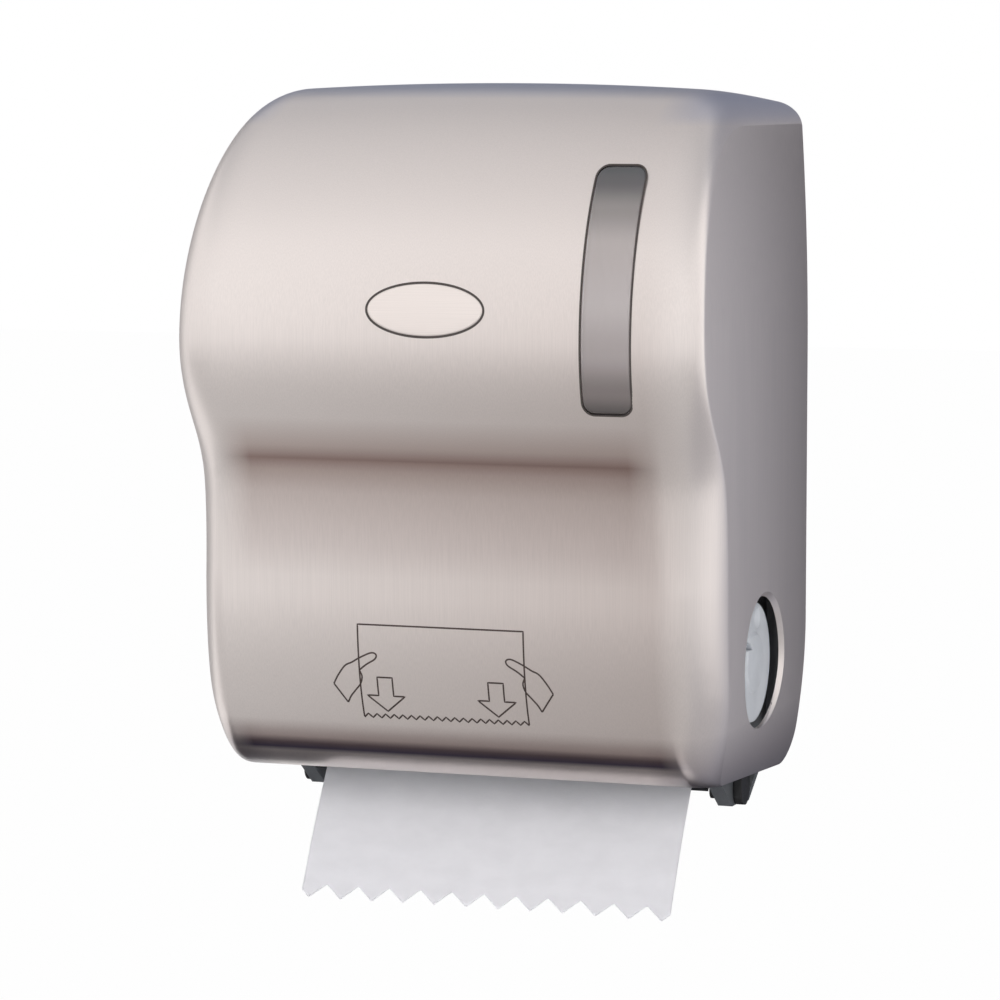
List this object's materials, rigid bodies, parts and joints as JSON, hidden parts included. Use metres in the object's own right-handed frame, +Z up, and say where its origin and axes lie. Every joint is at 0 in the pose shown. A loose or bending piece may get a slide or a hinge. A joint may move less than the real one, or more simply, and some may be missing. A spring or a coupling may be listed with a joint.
{
  "type": "autocut roll towel dispenser",
  "caption": "Wall-mounted pull-type towel dispenser: swing-down bulged cover, roll holder, feed drum with knife, side knob and paper tail.",
  "frame": {"origin": "centre of the wall-screw pattern on the back face", "axes": "+X to the right seen from the front, +Y into the wall, +Z up"},
  "size_m": [0.288, 0.2153, 0.441],
  "materials": {
    "cover_finish": "satin metallic paint",
    "smoked_lens": "smoked clear",
    "frame_plastic": "moulded",
    "bracket_plastic": "moulded",
    "black_plastic": "moulded",
    "white_plastic": "moulded",
    "rubber": "matt",
    "steel": "bright",
    "paper": "soft",
    "cardboard": "plain"
  },
  "bodies": {
    "frame": {"back_plate": "frame_plastic", "left_cheek": "frame_plastic", "right_cheek": "frame_plastic", "strike": "steel", "left_roll_arm": "frame_plastic", "arm_pin": "steel", "towel_web": "paper", "towel_tail": "paper", "drum_bushings": "black_plastic", "cam_ring": "black_plastic", "pinch_springs": "steel", "kick_spring": "steel", "guide_bar": "steel", "front_guide": "black_plastic", "outlet_guide": "black_plastic", "left_bracket": "bracket_plastic", "right_bracket": "bracket_plastic", "left_hinge_pin": "black_plastic", "right_hinge_pin": "black_plastic"},
    "cover": {"front_cover": "cover_finish", "window_lens": "smoked_lens", "badge": "cover_finish", "lock_nut": "steel", "left_knuckle": "black_plastic", "right_knuckle": "black_plastic"},
    "lock": {"lock_barrel": "steel", "lock_tongue": "steel"},
    "drum": {"drum_body": "frame_plastic", "drum_grips": "rubber", "drum_shaft": "steel", "feed_knob": "white_plastic", "kick_cam": "black_plastic"},
    "knife": {"knife_carrier": "black_plastic", "knife_blade": "steel", "cam_follower": "white_plastic"},
    "pinch": {"pinch_shaft": "steel", "pinch_rollers": "rubber"},
    "roll": {"paper_roll": "paper", "roll_core": "cardboard", "left_roll_hub": "black_plastic"},
    "right_arm": {"right_roll_arm": "frame_plastic"},
    "right_hub": {"right_roll_hub": "black_plastic"},
    "lever": {"kick_lever": "frame_plastic", "kick_roller": "white_plastic"}
  },
  "joints": [
    {"name": "cover_hinge", "type": "hinge", "parent": "frame", "child": "cover", "pos_m": [0, -0.06, -0.1955], "axis": [1, 0, 0], "range_deg": [0, 92], "deforming": ["towel_tail"]},
    {"name": "lock_turn", "type": "hinge", "parent": "cover", "child": "lock", "pos_m": [0, -0.026, 0.169], "axis": [0, 0, -1], "range_deg": [0, 90]},
    {"name": "drum_spin", "type": "hinge", "parent": "frame", "child": "drum", "pos_m": [0, -0.083, -0.122], "axis": [-1, 0, 0], "continuous": true},
    {"name": "knife_swing", "type": "hinge", "parent": "drum", "child": "knife", "pos_m": [0, -0.10743, -0.11311], "axis": [1, 0, 0], "range_deg": [0, 44], "stiffness_Nm_per_rad": 0.02, "springref_deg": -17.19},
    {"name": "pinch_spin", "type": "hinge", "parent": "frame", "child": "pinch", "pos_m": [0, -0.0332, -0.10387], "axis": [-1, 0, 0], "continuous": true},
    {"name": "roll_spin", "type": "hinge", "parent": "frame", "child": "roll", "pos_m": [0, -0.11, 0.07], "axis": [-1, 0, 0], "continuous": true},
    {"name": "right_arm_swing", "type": "hinge", "parent": "frame", "child": "right_arm", "pos_m": [0.11, -0.013, 0.07], "axis": [0, 0, 1], "range_deg": [0, 9], "stiffness_Nm_per_rad": 0.4, "springref_deg": -11.46},
    {"name": "right_hub_spin", "type": "hinge", "parent": "right_arm", "child": "right_hub", "pos_m": [0.107, -0.11, 0.07], "axis": [-1, 0, 0], "continuous": true},
    {"name": "kick_lever_swing", "type": "hinge", "parent": "frame", "child": "lever", "pos_m": [-0.13, -0.045, -0.0887], "axis": [-1, 0, 0], "range_deg": [0, 10], "stiffness_Nm_per_rad": 0.4, "springref_deg": -11.46, "deforming": ["kick_spring"]}
  ],
  "couplings": [
    {"joint": "pinch_spin", "follows": "drum_spin", "ratio": -3.3443},
    {"joint": "roll_spin", "follows": "drum_spin", "ratio": 0.48},
    {"joint": "right_hub_spin", "follows": "drum_spin", "ratio": 0.48}
  ]
}
